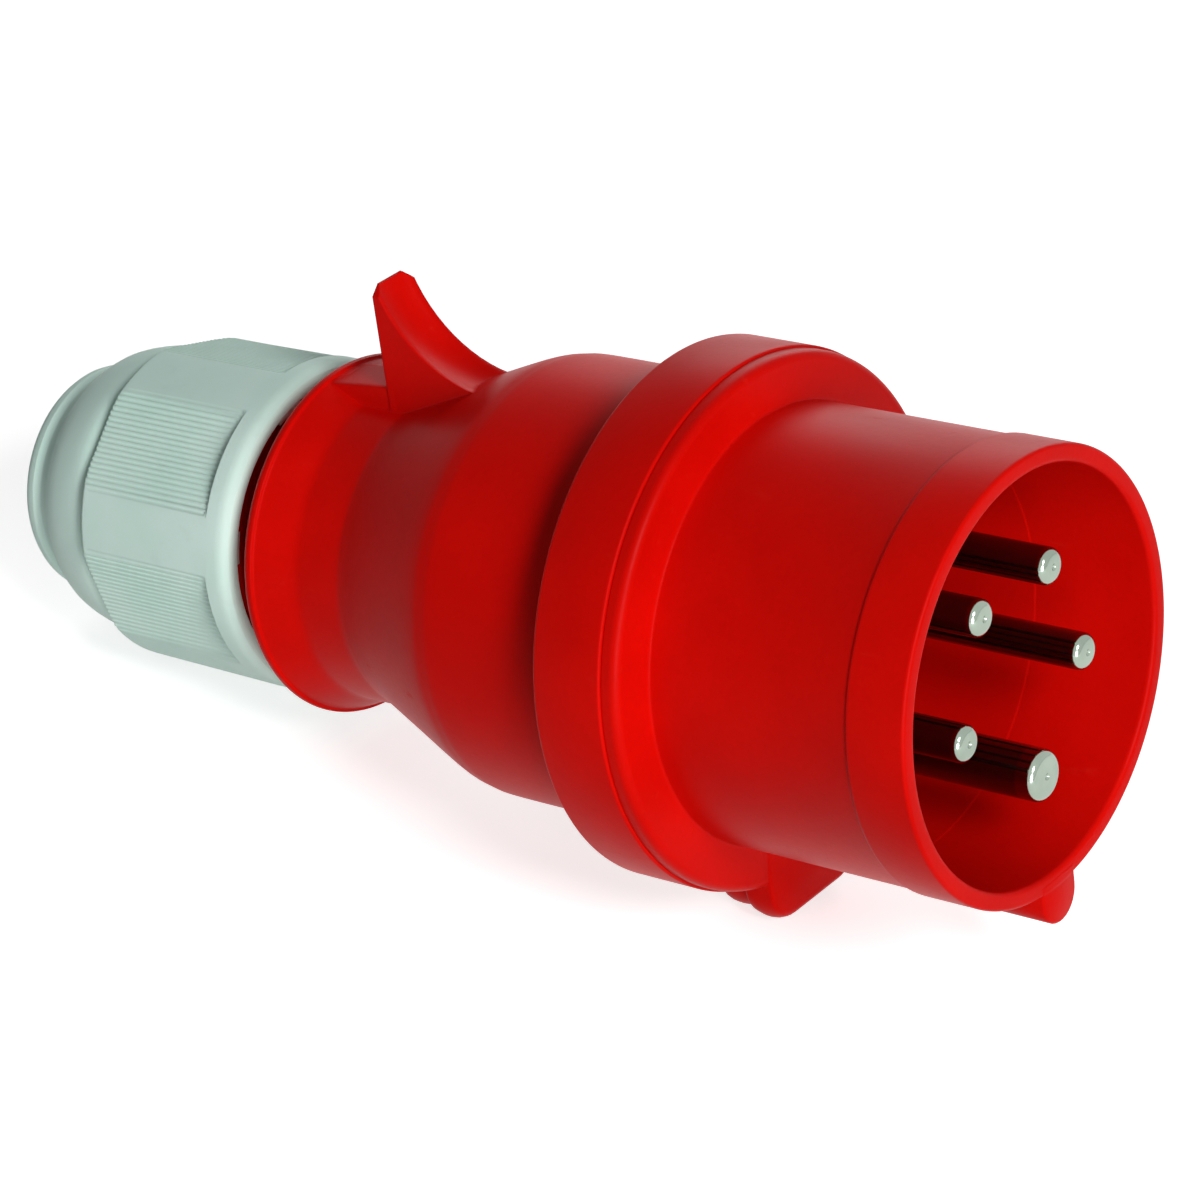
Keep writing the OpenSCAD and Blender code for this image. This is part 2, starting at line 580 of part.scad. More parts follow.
sleeve_housing();
rear_housing();
gland_nut();
contact_carrier();
terminal_block();
carrier_screw();
pin_l1();
pin_l2();
pin_l3();
pin_n();
pin_pe();
screw_l1();
screw_l2();
screw_l3();
screw_n();
screw_pe();
housing_seal();
cable_seal();
clamp_cage();
thrust_washer();
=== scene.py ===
# %% [markdown]
# # An industrial pin and sleeve plug
# This lesson dresses a red five-pin plug, the kind that feeds machines on a
# building site. Its solids come from CAD and already have the right sizes, so
# the work here is in two parts: rebuilding the pieces whose fine detail the
# solids leave out, and giving each piece a finish made from shader nodes.

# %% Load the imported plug
import bpy
import bmesh
import json
from math import asin, atan2, cos, degrees, hypot, pi, radians, sin, sqrt
from mathutils import Matrix, Vector


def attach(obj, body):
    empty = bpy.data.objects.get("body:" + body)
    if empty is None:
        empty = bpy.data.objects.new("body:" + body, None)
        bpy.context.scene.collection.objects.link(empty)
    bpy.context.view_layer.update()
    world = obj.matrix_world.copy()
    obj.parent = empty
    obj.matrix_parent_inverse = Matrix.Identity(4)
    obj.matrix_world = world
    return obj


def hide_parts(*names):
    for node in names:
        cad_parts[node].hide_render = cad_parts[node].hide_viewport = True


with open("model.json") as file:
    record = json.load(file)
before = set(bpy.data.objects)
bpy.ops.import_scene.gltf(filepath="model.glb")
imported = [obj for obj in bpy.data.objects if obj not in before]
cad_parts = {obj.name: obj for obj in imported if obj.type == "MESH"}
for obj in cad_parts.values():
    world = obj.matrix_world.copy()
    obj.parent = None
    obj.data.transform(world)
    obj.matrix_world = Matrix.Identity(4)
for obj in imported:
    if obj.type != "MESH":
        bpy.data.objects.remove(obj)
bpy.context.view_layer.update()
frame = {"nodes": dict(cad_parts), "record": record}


# %% [markdown]
# The plug lies on its lug and on the back edge of its gland nut, so its axis
# leans a little. Every turned piece is easiest to draw about that axis. The
# record names the place where the plug slides into its socket: that is the
# middle of the rim, and its axis is the way the plug looks. From those two we
# make one matrix, and each piece is drawn in millimetres with x towards the
# thumb fin, y to the side and z backwards from the rim, then laid down by it.
# A place along the axis, counted from the rim, is called a station.

# %% The plug's own axes
MM = 0.001
MM_IN_A_METRE = 1000
opening = {m["name"]: m for m in frame["record"]["mounts"]}["socket_interface"]
rim = Vector(opening["pos_m"])
forward = Vector(opening["axis"]).normalized()
side = Vector((0, 1, 0))
up = forward.cross(side)
lean = Matrix((up, side, -forward)).transposed().to_4x4()
lie = Matrix.Translation(rim) @ lean @ Matrix.Scale(MM, 4)
raise_up = lie.inverted()


def measured(node):
    """The first and the last station of a node."""
    stations = [(raise_up @ v.co).z for v in frame["nodes"][node].data.vertices]
    return min(stations), max(stations)


print("lean of the axis:", round(degrees(asin(forward.z)), 2), "degrees")
nut_front, nut_back = measured("gland_nut")
print("gland nut from", round(nut_front, 2), "to", round(nut_back, 2))

# %% [markdown]
# The camera comes early, because every later choice is judged through it. It
# stands to the side of the mating end and looks down at about thirty degrees.
# A long lens keeps the near rim from looking swollen.

# %% Camera
def into_scene(name, data):
    """An object made of that data and linked into the scene."""
    thing = bpy.data.objects.new(name, data)
    bpy.context.scene.collection.objects.link(thing)
    return thing


eye = bpy.data.cameras.new("plug_camera")
eye.lens = 141.3
eye.sensor_width = 36
eye.clip_start = 0.02
camera = into_scene("plug_camera", eye)
camera.location = (0.33063, -0.43314, 0.36865)
camera.rotation_euler = [radians(angle) for angle in (58.150, -1.112, 37.259)]
bpy.context.scene.camera = camera
print("camera stands", round((camera.location - rim).length, 3), "m from the rim")

# %% [markdown]
# A shader graph is easier to read as sums. The small class below wraps a
# socket, so that adding or multiplying two of them lays down the Math node
# that does it, and a bar between two gives the larger. Every other node comes
# from one method, which takes the node's type, its settings, and what goes
# into its sockets.

# %% Sockets that can be added and multiplied
class Wire:
    """An output socket of one of a graph's nodes."""

    def __init__(self, graph, socket):
        self.graph, self.socket = graph, socket

    def maths(self, operation, first, second):
        return self.graph.add("ShaderNodeMath", {"operation": operation}, {0: first, 1: second})

    def __add__(self, other): return self.maths("ADD", self, other)
    def __radd__(self, other): return self.maths("ADD", other, self)
    def __mul__(self, other): return self.maths("MULTIPLY", self, other)
    def __rmul__(self, other): return self.maths("MULTIPLY", other, self)
    def __or__(self, other): return self.maths("MAXIMUM", self, other)
    def __ror__(self, other): return self.maths("MAXIMUM", other, self)


class Graph:
    """A node tree whose nodes are laid down by add()."""

    def __init__(self, tree):
        self.tree = tree

    def add(self, kind, settings=None, inputs=None, out=0):
        """Lays down a node and gives one of its outputs; an input is a value or a Wire."""
        node = self.tree.nodes.new(kind)
        for key, value in (settings or {}).items():
            setattr(node, key, value)
        for key, value in (inputs or {}).items():
            if isinstance(value, Wire):
                self.tree.links.new(value.socket, node.inputs[key])
            else:
                node.inputs[key].default_value = value
        return Wire(self, node.outputs[out])

    def show(self, shader, output):
        """Makes the shader the surface of the output node."""
        self.tree.links.new(shader.socket, output.inputs["Surface"])


class Finish(Graph):
    """A material and its shader; a socket's name is written with _ for each space."""

    def __init__(self, name, **shader):
        self.material = bpy.data.materials.new(name)
        self.material.use_nodes = True
        super().__init__(self.material.node_tree)
        self.shader = self.tree.nodes["Principled BSDF"]
        for socket, value in shader.items():
            self.shader.inputs[socket.replace("_", " ")].default_value = value

    def drive(self, **sockets):
        """Plugs Wires into the shader's own sockets and gives the material."""
        for name, wire in sockets.items():
            self.tree.links.new(wire.socket, self.shader.inputs[name.replace("_", " ")])
        return self.material


print("finishes are ready to be mixed")

# %% [markdown]
# All patterns are laid out on Object coordinates, turned to the plug's axes
# and counted in millimetres, so that a speck or a scuff has the size it has
# on the real thing and stays put when a piece moves.

# %% Patterns in millimetres
# A Mix node has its own sockets for each kind of value; these are the colour's.
MIX_FACTOR, MIX_FIRST, MIX_SECOND, MIX_RESULT = 0, 6, 7, 2


def place(finish):
    """The point in the plug's axes, in millimetres, and its station alone."""
    here = finish.add("ShaderNodeTexCoord", out="Object")
    away = finish.add("ShaderNodeVectorMath", {"operation": "SUBTRACT"}, {0: here, 1: rim})
    parts = [finish.add("ShaderNodeVectorMath", {"operation": "DOT_PRODUCT"},
                        {0: away, 1: direction * MM_IN_A_METRE}, out="Value")
             for direction in (up, side, -forward)]
    point = finish.add("ShaderNodeCombineXYZ", None, dict(enumerate(parts)))
    return point, parts[2]


def noise(finish, point, size, detail=2, rough=0.5, stretch=None):
    """A soft noise whose lumps are about size millimetres across."""
    if stretch:
        point = finish.add("ShaderNodeMapping", None, {"Vector": point, "Scale": stretch})
    return finish.add("ShaderNodeTexNoise", None,
                      {"Vector": point, "Scale": 1 / size, "Detail": detail, "Roughness": rough})


def fade(finish, value, low, high):
    """0 below low, 1 above high, and smooth between."""
    return finish.add("ShaderNodeMapRange", {"interpolation_type": "SMOOTHSTEP"},
                      {"Value": value, "From Min": low, "From Max": high})


def blend_colours(finish, mask, first, second):
    """The first colour where the mask is 0, the second where it is 1."""
    return finish.add("ShaderNodeMix", {"data_type": "RGBA"},
                      {MIX_FACTOR: mask, MIX_FIRST: first, MIX_SECOND: second}, out=MIX_RESULT)


def darker(colour, share):
    """The colour with its light brought down to that share."""
    return tuple(share * x for x in colour[:3]) + (1,)


def relief(finish, height, depth, strength, over=None):
    """Bumps of that depth in millimetres, from a height between 0 and 1."""
    inputs = {"Height": height, "Distance": depth * MM, "Strength": strength}
    if over is not None:
        inputs["Normal"] = over
    return finish.add("ShaderNodeBump", None, inputs)


print("patterns are laid out about", [round(x, 4) for x in rim])

# %% [markdown]
# ## Red nylon
# The shells are moulded in glass-filled nylon: a strong signal red, smooth
# but not polished. Close up the skin has a faint orange peel, the colour
# drifts a little where the melt cooled, and handling leaves thin pale
# scuffs. A Bevel node softens the normals at the edges, as a mould's edges
# are never quite sharp.

# %% Red nylon
def red_nylon(name, deep, bright, edge, gloss):
    """Nylon between two reds; edge is how wide its edges are rounded, in millimetres."""
    pale_scuff, dark_speck = (0.80, 0.09, 0.06, 1), (0.42, 0.002, 0.001, 1)
    skin = Finish(name, Specular_IOR_Level=0.04)
    point, _ = place(skin)
    drift = noise(skin, point, size=28, detail=3)
    speck = noise(skin, point, size=0.9)
    streaks = noise(skin, point, size=2.6, detail=6, rough=0.7, stretch=(1, 1, 0.22))
    scuff = fade(skin, streaks, 0.62, 0.72)
    colour = blend_colours(skin, fade(skin, drift, 0.3, 0.7), deep, bright)
    colour = blend_colours(skin, scuff * 0.05, colour, pale_scuff)
    colour = blend_colours(skin, fade(skin, speck, 0.35, 0.75) * 0.10, colour, dark_speck)
    rough = gloss + drift * 0.10 + scuff * 0.14 + speck * 0.05
    soft = skin.add("ShaderNodeBevel", {"samples": 6}, {"Radius": edge * MM})
    peel = noise(skin, point, size=0.55) * 0.6 + noise(skin, point, size=3.5) * 0.4
    bumps = relief(skin, peel, depth=0.035, strength=0.6, over=soft)
    return skin.drive(Base_Color=colour, Roughness=rough, Normal=bumps)


shell_red = red_nylon("red_nylon", (0.56, 0.002, 0.0005, 1), (0.67, 0.003, 0.001, 1),
                      edge=0.35, gloss=0.30)
carrier_red = red_nylon("carrier_nylon", (0.36, 0.004, 0.002, 1), (0.46, 0.008, 0.004, 1),
                        edge=0.2, gloss=0.45)
print("red finishes:", shell_red.name, carrier_red.name)

# %% [markdown]
# ## Grey-green nylon
# The gland nut is moulded in a pale grey-green. It is duller than the shells,
# with a fine grain that holds a trace of dust in its grooves. The pale and
# grey parts inside the plug share the recipe.

# %% Grey-green nylon
def pale_nylon(name, deep, bright, gloss):
    """Nylon between two pale colours, with grain and a little dust."""
    skin = Finish(name, Specular_IOR_Level=0.12)
    point, _ = place(skin)
    drift = noise(skin, point, size=16, detail=3)
    grain = noise(skin, point, size=0.5, detail=3)
    dust = fade(skin, noise(skin, point, size=5, detail=5, rough=0.65), 0.55, 0.75)
    colour = blend_colours(skin, fade(skin, drift, 0.3, 0.7), deep, bright)
    colour = blend_colours(skin, dust * 0.10, colour, darker(bright, 0.6))
    rough = gloss + grain * 0.12 + dust * 0.06
    soft = skin.add("ShaderNodeBevel", {"samples": 4}, {"Radius": 0.15 * MM})
    bumps = relief(skin, grain, depth=0.03, strength=0.6, over=soft)
    return skin.drive(Base_Color=colour, Roughness=rough, Normal=bumps)


nut_grey = pale_nylon("grey_green_nylon", (0.66, 0.89, 0.80, 1), (0.74, 0.94, 0.86, 1), gloss=0.5)
block_grey = pale_nylon("block_nylon", (0.50, 0.50, 0.47, 1), (0.60, 0.60, 0.57, 1), gloss=0.55)
cage_grey = pale_nylon("cage_nylon", (0.15, 0.16, 0.16, 1), (0.21, 0.22, 0.22, 1), gloss=0.5)
washer_white = pale_nylon("acetal", (0.62, 0.62, 0.60, 1), (0.72, 0.72, 0.70, 1), gloss=0.3)
print("pale finishes:", nut_grey.name, block_grey.name, cage_grey.name, washer_white.name)

# %% [markdown]
# ## Nickel, zinc and rubber
# The pins are brass with a nickel plating. It is bright and clouded on the
# faced-off tip; behind it the shank is drawn along its length, so its
# scratches run lengthwise, and its colour is painted darker there as shade,
# since it stands deep inside the sleeve. The screws are dull zinc. The seals
# are a soft black rubber.

# %% Metals and rubber
def plated(name, deep, bright, gloss, scratch, shank_shade):
    """Plating with lengthwise scratches behind the tip; the last argument is the share of light
    left on the shank, as painted shade.
    """
    metal = Finish(name, Metallic=1.0)
    point, station = place(metal)
    shank = fade(metal, station, 2.6, 3.2)
    drawn = noise(metal, point, size=scratch, detail=3, stretch=(1, 1, 0.03)) * shank
    cloud = noise(metal, point, size=5, detail=3)
    colour = blend_colours(metal, fade(metal, cloud, 0.3, 0.7), deep, bright)
    # Painted shade: the shank, deep inside the sleeve, is darkened to a share of the deep colour.
    colour = blend_colours(metal, shank, colour, darker(deep, shank_shade))
    rough = gloss + drawn * 0.08 + cloud * 0.05
    bumps = relief(metal, drawn, depth=0.004, strength=0.4)
    return metal.drive(Base_Color=colour, Roughness=rough, Normal=bumps)


def soft_rubber(name, dull, bloomed):
    """Rubber with a fine grain and a grey bloom in patches."""
    rubber = Finish(name, Specular_IOR_Level=0.3)
    point, _ = place(rubber)
    grain = noise(rubber, point, size=0.4, detail=3)
    bloom = fade(rubber, noise(rubber, point, size=4, detail=4), 0.45, 0.75)
    colour = blend_colours(rubber, bloom, dull, bloomed)
    bumps = relief(rubber, grain, depth=0.03, strength=0.5)
    return rubber.drive(Base_Color=colour, Roughness=0.6 + bloom * 0.15, Normal=bumps)


nickel = plated("nickel_plate", (0.31, 0.38, 0.315, 1), (0.37, 0.44, 0.37, 1),
                gloss=0.10, scratch=0.25, shank_shade=0.65)
zinc = plated("zinc_plate", (0.50, 0.50, 0.50, 1), (0.62, 0.62, 0.61, 1),
              gloss=0.32, scratch=0.3, shank_shade=1.0)
black_rubber = soft_rubber("black_rubber", (0.022, 0.022, 0.022, 1), (0.05, 0.05, 0.048, 1))
print("metals and rubber:", nickel.name, zinc.name, black_rubber.name)

# %% Every solid gets its finish
finish_of = {"red_shell": shell_red, "grey_green": nut_grey, "carrier": carrier_red,
             "block": block_grey, "contact": nickel, "screw": zinc, "rubber": black_rubber,
             "cage": cage_grey, "washer": washer_white}
for part in frame["record"]["subparts"]:
    solid = frame["nodes"][part["node"]]
    solid.data.materials.clear()
    solid.data.materials.append(finish_of[part["material_slot"]])
    print(part["node"], "->", finish_of[part["material_slot"]].name)

# %% [markdown]
# ## Turning a piece
# Most of a plug is round, so one helper turns them all: it lays the outline
# out as a flat face, keeps only the border of it and spins that about the
# axis. A second helper lays a finished piece down in its place, gives it its
# finish and hides the solid it stands for.

# %% Turn an outline about the axis
WELD = 1e-5


def turned(outline, steps):
    """A bmesh of the closed outline of (radius, station) spun about z."""
    work = bmesh.new()
    ring = [work.verts.new((radius, 0, station)) for radius, station in outline]
    work.faces.new(ring)
    bmesh.ops.delete(work, geom=work.faces[:], context="FACES_ONLY")
    bmesh.ops.spin(work, geom=work.verts[:] + work.edges[:], cent=(0, 0, 0), axis=(0, 0, 1),
                   angle=2 * pi, steps=steps, use_merge=True)
    bmesh.ops.remove_doubles(work, verts=work.verts[:], dist=WELD)
    bmesh.ops.recalc_face_normals(work, faces=work.faces[:])
    return work


def mesh_from(work, name):
    """A mesh made from the bmesh, which is used up."""
    mesh = bpy.data.meshes.new(name)
    work.to_mesh(mesh)
    work.free()
    return mesh


def settle(work, name, body, slot, stands_for, crease=32):
    """Lays a finished bmesh down as a piece of the plug, smooth up to the crease angle."""
    bmesh.ops.transform(work, matrix=lie, verts=work.verts[:])
    mesh = mesh_from(work, name)
    mesh.polygons.foreach_set("use_smooth", [True] * len(mesh.polygons))
    mesh.set_sharp_from_angle(angle=radians(crease))
    mesh.materials.append(finish_of[slot])
    piece = into_scene(name, mesh)
    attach(piece, body)
    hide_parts(*stands_for)
    print(name, "has", sum(len(p.vertices) - 2 for p in mesh.polygons), "triangles")


print("corners closer than", WELD, "mm are welded")

# %% [markdown]
# ## The gland nut
# The nut squeezes the rubber grommet onto the cable. It has six wrench flats
# with fine ribs for a wet hand, smooth round corners between them, a plain
# collar in front, and two rolled rings at the back. A texture could fake the
# ribs, but they catch the light along their whole length, so they are cut:
# the outline is spun in half-degree steps, the rows of points that lie over a
# flat are pressed in to it, and every second pair of rows is pressed in a
# little deeper. Six teeth stand in the mouth of the collar.

# %% Outline of the nut
STEPS_PER_DEGREE = 2
nut_outline = [
    (21.3, 0), (22.3, 0), (22.9, 0.25), (23.35, 0.8), (23.6, 1.5), (23.66, 2.3), (23.67, 3.95),
    (23.67, 4.1), (23.67, 4.25), (23.66, 4.6), (23.66, 4.8), (23.34, 26.8), (23.33, 27.0),
    (23.3, 27.5), (23.1, 27.85), (22.7, 28.05), (20.85, 28.45), (20.45, 28.8), (20.5, 29.4),
    (20.85, 30.0), (21.15, 30.7), (21.2, 31.6), (21.05, 32.8), (20.75, 34.3), (20.35, 35.9),
    (19.9, 37.2), (19.3, 38.3), (18.6, 39.1), (17.9, 39.7), (17.2, 40.5), (16.6, 41.4),
    (16.25, 42.1), (16.2, 42.7), (16.45, 43.3), (16.65, 43.8), (16.6, 44.4), (16.4, 45.0),
    (16.0, 45.6), (15.4, 46.1), (14.7, 46.4), (12.6, 46.4), (11.9, 46.1), (11.5, 45.5),
    (11.5, 31.4), (19.58, 31.4), (19.58, 5.2), (20.9, 5.0), (21.1, 2.6), (21.1, 2.3), (21.1, 0.9),
    (21.1, 0.6), (21.15, 0.2)]
nut = turned([(r, nut_front + s) for r, s in nut_outline], 360 * STEPS_PER_DEGREE)
print("nut outline", len(nut_outline), "points,", len(nut.verts), "corners when spun")

# %% Press the flats, the ribs and the teeth
flat_turn, flat_distance, flat_front, flat_back = 15, 22.25, 4.2, 28.2
flat_bottom = 21.9
rib_front, rib_reach, rib_depth, rib_pitch = 4.7, 20.0, 0.2, 2
tooth_front, tooth_back, tooth_reach, tooth_tip = 0.7, 2.5, 6.6, 19.9
mouth_least, mouth_most = 21, 21.2


def off_nearest(turn, middle):
    """How far a turn is from the nearest of six directions, of which middle is one."""
    return (turn - middle + 30) % 60 - 30


def press_nut(point):
    """Where a point of the round nut goes on the pressed one."""
    station = point.z - nut_front
    radius, turn = hypot(point.x, point.y), degrees(atan2(point.y, point.x))
    off = off_nearest(turn, flat_turn)
    if flat_front < station < flat_back and radius > flat_bottom:
        row = round(turn * STEPS_PER_DEGREE) % (rib_pitch * STEPS_PER_DEGREE)
        ribbed = station > rib_front and abs(off) < rib_reach
        deep = flat_distance - (rib_depth if ribbed and row < 2 else 0)
        radius = min(radius, deep / cos(radians(off)))
    in_mouth = tooth_front < station < tooth_back and mouth_least < radius < mouth_most
    if in_mouth and abs(off_nearest(turn, flat_turn + 30)) < tooth_reach:
        radius = tooth_tip
    return Vector((radius * cos(radians(turn)), radius * sin(radians(turn)), point.z))


for corner in nut.verts:
    corner.co = press_nut(corner.co)
settle(nut, "gland_nut_ribbed", "nut", "grey_green", ["gland_nut"], crease=26)
print("grooves on each flat:", round(2 * rib_reach / rib_pitch))

# %% [markdown]
# ## The front shell
# The front shell is the sleeve with its collar, the disc it grows out of and
# the spigot that slides into the rear shell. It is one turned piece. Its
# locating key keeps the plug from going in at a wrong angle, and its lug is
# what the lid of the socket catches. The key and the lug are each a small
# face, drawn out step by step, and the steps near an end are drawn in a
# little, so that their edges are round all over.

# %% Lines for the outlines
def arc(middle, radius, start, end, steps=6):
    """Points of (radius, station) on an arc, with its angles in degrees."""
    turns = [radians(start + (end - start) * i / steps) for i in range(steps + 1)]
    return [(middle[0] + radius * cos(t), middle[1] + radius * sin(t)) for t in turns]


def flowing(points, steps):
    """A smooth line through the points of (radius, station)."""
    line = []
    for i in range(len(points) - 1):
        before, here, there, after = (Vector(points[min(max(k, 0), len(points) - 1)])
                                      for k in (i - 1, i, i + 1, i + 2))
        bend = 2 * before - 5 * here + 4 * there - after
        swing = 3 * here - before - 3 * there + after
        for k in range(steps):
            t = k / steps
            line.append(tuple(0.5 * (2 * here + (there - before) * t + bend * t * t
                                     + swing * t ** 3)))
    return line + [tuple(points[-1])]


rim_edge = arc((29.5, 0.5), 0.5, -90, 0)
print("the edge of the rim has", len(rim_edge), "points")

# %% Turn the sleeve
SHELL_STEPS = 240
sleeve_line = (
    rim_edge
    + [(30.0, 8.3), (29.98, 8.5), (29.88, 8.7), (29.7, 8.86), (29.6, 9.15), (29.6, 38.7),
       (29.66, 38.92), (29.84, 39.07), (30.1, 39.14)]
    + arc((34.7, 40.7), 1.3, -93, 0, 8)
    + [(36.0, 41.8), (35.95, 41.87), (33.05, 41.87), (33.05, 48.5), (32.95, 48.6), (30.45, 48.6),
       (30.35, 48.5), (30.35, 41.0), (27.38, 41.0), (27.42, 18.62), (27.5, 18.5), (27.5, 0.7),
       (27.56, 0.4), (27.7, 0.17), (27.95, 0.03), (28.2, 0)])
front_shell = turned(sleeve_line, SHELL_STEPS)
print("sleeve outline", len(sleeve_line), "points")

# %% Draw the key out along the axis
def one_step(work, face, keep):
    """Extrudes the face and gives the new one; the old one is kept only as the first end."""
    grown = bmesh.ops.extrude_face_region(work, geom=[face])["geom"]
    if not keep and face.is_valid:
        bmesh.ops.delete(work, geom=[face], context="FACES_ONLY")
    return [g for g in grown if isinstance(g, bmesh.types.BMFace)][0]


def drawn_out(work, outline, stops, shape):
    """Adds the outline of (x, y), drawn through the stations and changed by shape at each."""
    ring = [work.verts.new((x, y, stops[0])) for x, y in outline]
    face = work.faces.new(ring)
    columns = [[v] for v in ring]
    for station in stops[1:]:
        face = one_step(work, face, len(columns[0]) == 1)
        for corner in face.verts:
            corner.co.z = station
            nearest = min(columns, key=lambda column: (column[0].co.xy - corner.co.xy).length)
            nearest.append(corner)
    for column in columns:
        x, y = column[0].co.xy
        for corner in column:
            corner.co.x, corner.co.y = shape(x, y, corner.co.z)


key_root, key_middle, key_half = 28.6, 31.4, 3.8
key_nose = 0.35
runout, runout_length, runout_depth = 12.5, 10.5, 0.16
key_outline = [(-key_middle - key_half * sin(radians(a)), key_half * cos(radians(a)))
               for a in range(0, 181, 12)] + [(-key_root, -key_half), (-key_root, key_half)]
key_stops = [0.01, 0.08, 0.18, key_nose, 6, runout, 13.5, 14.5, 16, 17.5, 19, 20.5, 22, 23]


def key_shape(x, y, station):
    """Rounds the key's nose over at the rim and runs it out into the sleeve."""
    inset = key_nose * max(0, 1 - station / key_nose) ** 2
    left = 1 - min(max((station - runout) / runout_length, 0), 1) ** 1.4
    depth = (-x - key_root - inset) * (runout_depth + (1 - runout_depth) * left)
    return -key_root - max(depth, 0), y * (1 - inset / key_half)


drawn_out(front_shell, key_outline, key_stops, key_shape)
print("key outline", len(key_outline), "points, drawn out in", len(key_stops), "steps")

# %% Front lug
lug_root = 28.9
lug_corner = 5
softness = 0.6


def lug_outline(foot, width):
    """A lug from inside the shell down to its foot, with round lower corners."""
    half = width / 2
    near = [(-foot + lug_corner - lug_corner * sin(radians(a)),
             half - lug_corner + lug_corner * cos(radians(a))) for a in range(0, 91, 9)]
    far = [(x, -y) for x, y in reversed(near)]
    return [(-lug_root, half)] + near + far + [(-lug_root, -half)]


def lug_shape(foot, width, barrel, middle, first, last, soft_front, soft_back):
    """Bows the foot about its middle station, and draws both ends in."""
    def shape(x, y, station):
        bulge = barrel - sqrt(max(barrel ** 2 - (station - middle) ** 2, 0))
        front = max(0, 1 - (station - first) / soft_front)
        back = max(0, 1 - (last - station) / soft_back)
        inset = (soft_front * softness * (1 - sqrt(max(1 - front ** 2, 0)))
                 + soft_back * softness * (1 - sqrt(max(1 - back ** 2, 0))))
        drop = (foot - bulge - inset - lug_root) / (foot - lug_root)
        return -lug_root - (-x - lug_root) * drop, y * (1 - inset / (width / 2))
    return shape


def steps_between(first, last, soft_front, soft_back):
    """Stations that lie closer together near the soft ends."""
    ends = [i / 4 for i in range(5)]
    return ([first + soft_front * e ** 1.6 for e in ends]
            + [first + (last - first) * k / 6 for k in (2, 3, 4)]
            + [last - soft_back * e ** 1.6 for e in reversed(ends)])


def add_lug(work, foot, width, barrel, middle, first, last, soft_front, soft_back):
    """Adds a lug to work."""
    stops = steps_between(first, last, soft_front, soft_back)
    drawn_out(work, lug_outline(foot, width), stops,
              lug_shape(foot, width, barrel, middle, first, last, soft_front, soft_back))
    print("lug drawn out in", len(stops), "steps, down to", foot)


add_lug(front_shell, foot=41.5, width=20, barrel=3.5, middle=41.65, first=39.1, last=43.8,
        soft_front=0.7, soft_back=0.5)
bmesh.ops.recalc_face_normals(front_shell, faces=front_shell.faces[:])
settle(front_shell, "front_shell", "plug", "red_shell", ["sleeve_housing"])

# %% [markdown]
# ## The rear shell
# The rear shell closes over the front one with its ring, then narrows in a
# dome and a cone to a waist that a hand can pull on, and flares out again
# into a lip. Behind the lip stands the thread for the gland nut. Its outline
# is turned like the sleeve's, with a flowing line where the real one has no
# corner at all. The thread is the end of one small ridge, spun and lifted by
# its pitch at each turn.

# %% Turn the rear shell
dome_and_waist = [(30.5, 60), (30.5, 73.5), (30.3, 76.4), (29.6, 79.2), (26.5, 87.0), (23.4, 94.8),
                  (22.75, 96.6), (22.45, 97.7), (22.4, 99.5)]
rear_line = (
    [(33.2, 41.9), (36.15, 41.9)]
    + arc((36.1, 42.2), 0.3, -60, 0, 3)
    + [(36.4, 52.1)]
    + arc((35.8, 52.1), 0.6, 0, 90, 4)
    + [(31.4, 52.7), (30.9, 52.8), (30.6, 53.05), (30.5, 53.5)]
    + flowing(dome_and_waist, 4)
    + [(22.4, 104.2), (22.47, 104.9), (22.68, 105.6), (23.02, 106.4), (24.86, 110.5)]
    + arc((24.25, 111.1), 1.15, -24, 90, 8)
    + [(19.4, 112.26), (18.7, 112.4), (18.7, 125.8), (18.4, 126.06), (16.5, 126.06),
       (16.5, 118.06), (12.5, 118.06), (12.5, 115.66), (16.5, 111.76), (19.6, 106.52),
       (19.6, 97.26), (27.9, 75.2), (27.9, 50.2), (33.2, 50.2)])
rear_shell = turned(rear_line, SHELL_STEPS)
print("rear outline", len(rear_line), "points")

# %% Thread of the gland
def join(work, other, name):
    """Adds the bmesh other to work, and uses it up."""
    bmesh.ops.recalc_face_normals(other, faces=other.faces[:])
    mesh = mesh_from(other, name)
    work.from_mesh(mesh)
    print(name, "has", len(mesh.polygons), "faces")


pitch, thread_turns, steps_per_turn = 3, 3.4, 96
ridge_outline = [(18.5, 113.0), (19.1, 113.45), (19.48, 114.0), (19.48, 114.3), (19.1, 114.85),
                 (18.5, 115.3)]
thread = bmesh.new()
ridge = [thread.verts.new((radius, 0, station)) for radius, station in ridge_outline]
ridge_face = thread.faces.new(ridge)
bmesh.ops.spin(thread, geom=[ridge_face] + ridge_face.edges[:] + ridge, cent=(0, 0, 0),
               axis=(0, 0, 1), dvec=(0, 0, pitch / steps_per_turn), angle=2 * pi * thread_turns,
               steps=int(steps_per_turn * thread_turns))
join(rear_shell, thread, "thread_ridge")

# %% [markdown]
# The thumb fin is pushed or pulled when the plug goes in. Seen from the side
# it is a blade with a hollow front, and its front has a shallow groove
# between two ridges, so that a thumb doesn't slip. It is drawn as its side
# face, extruded across in strips; the points of the hollow front between the
# ridges are then pressed back, and the top corners are cut.

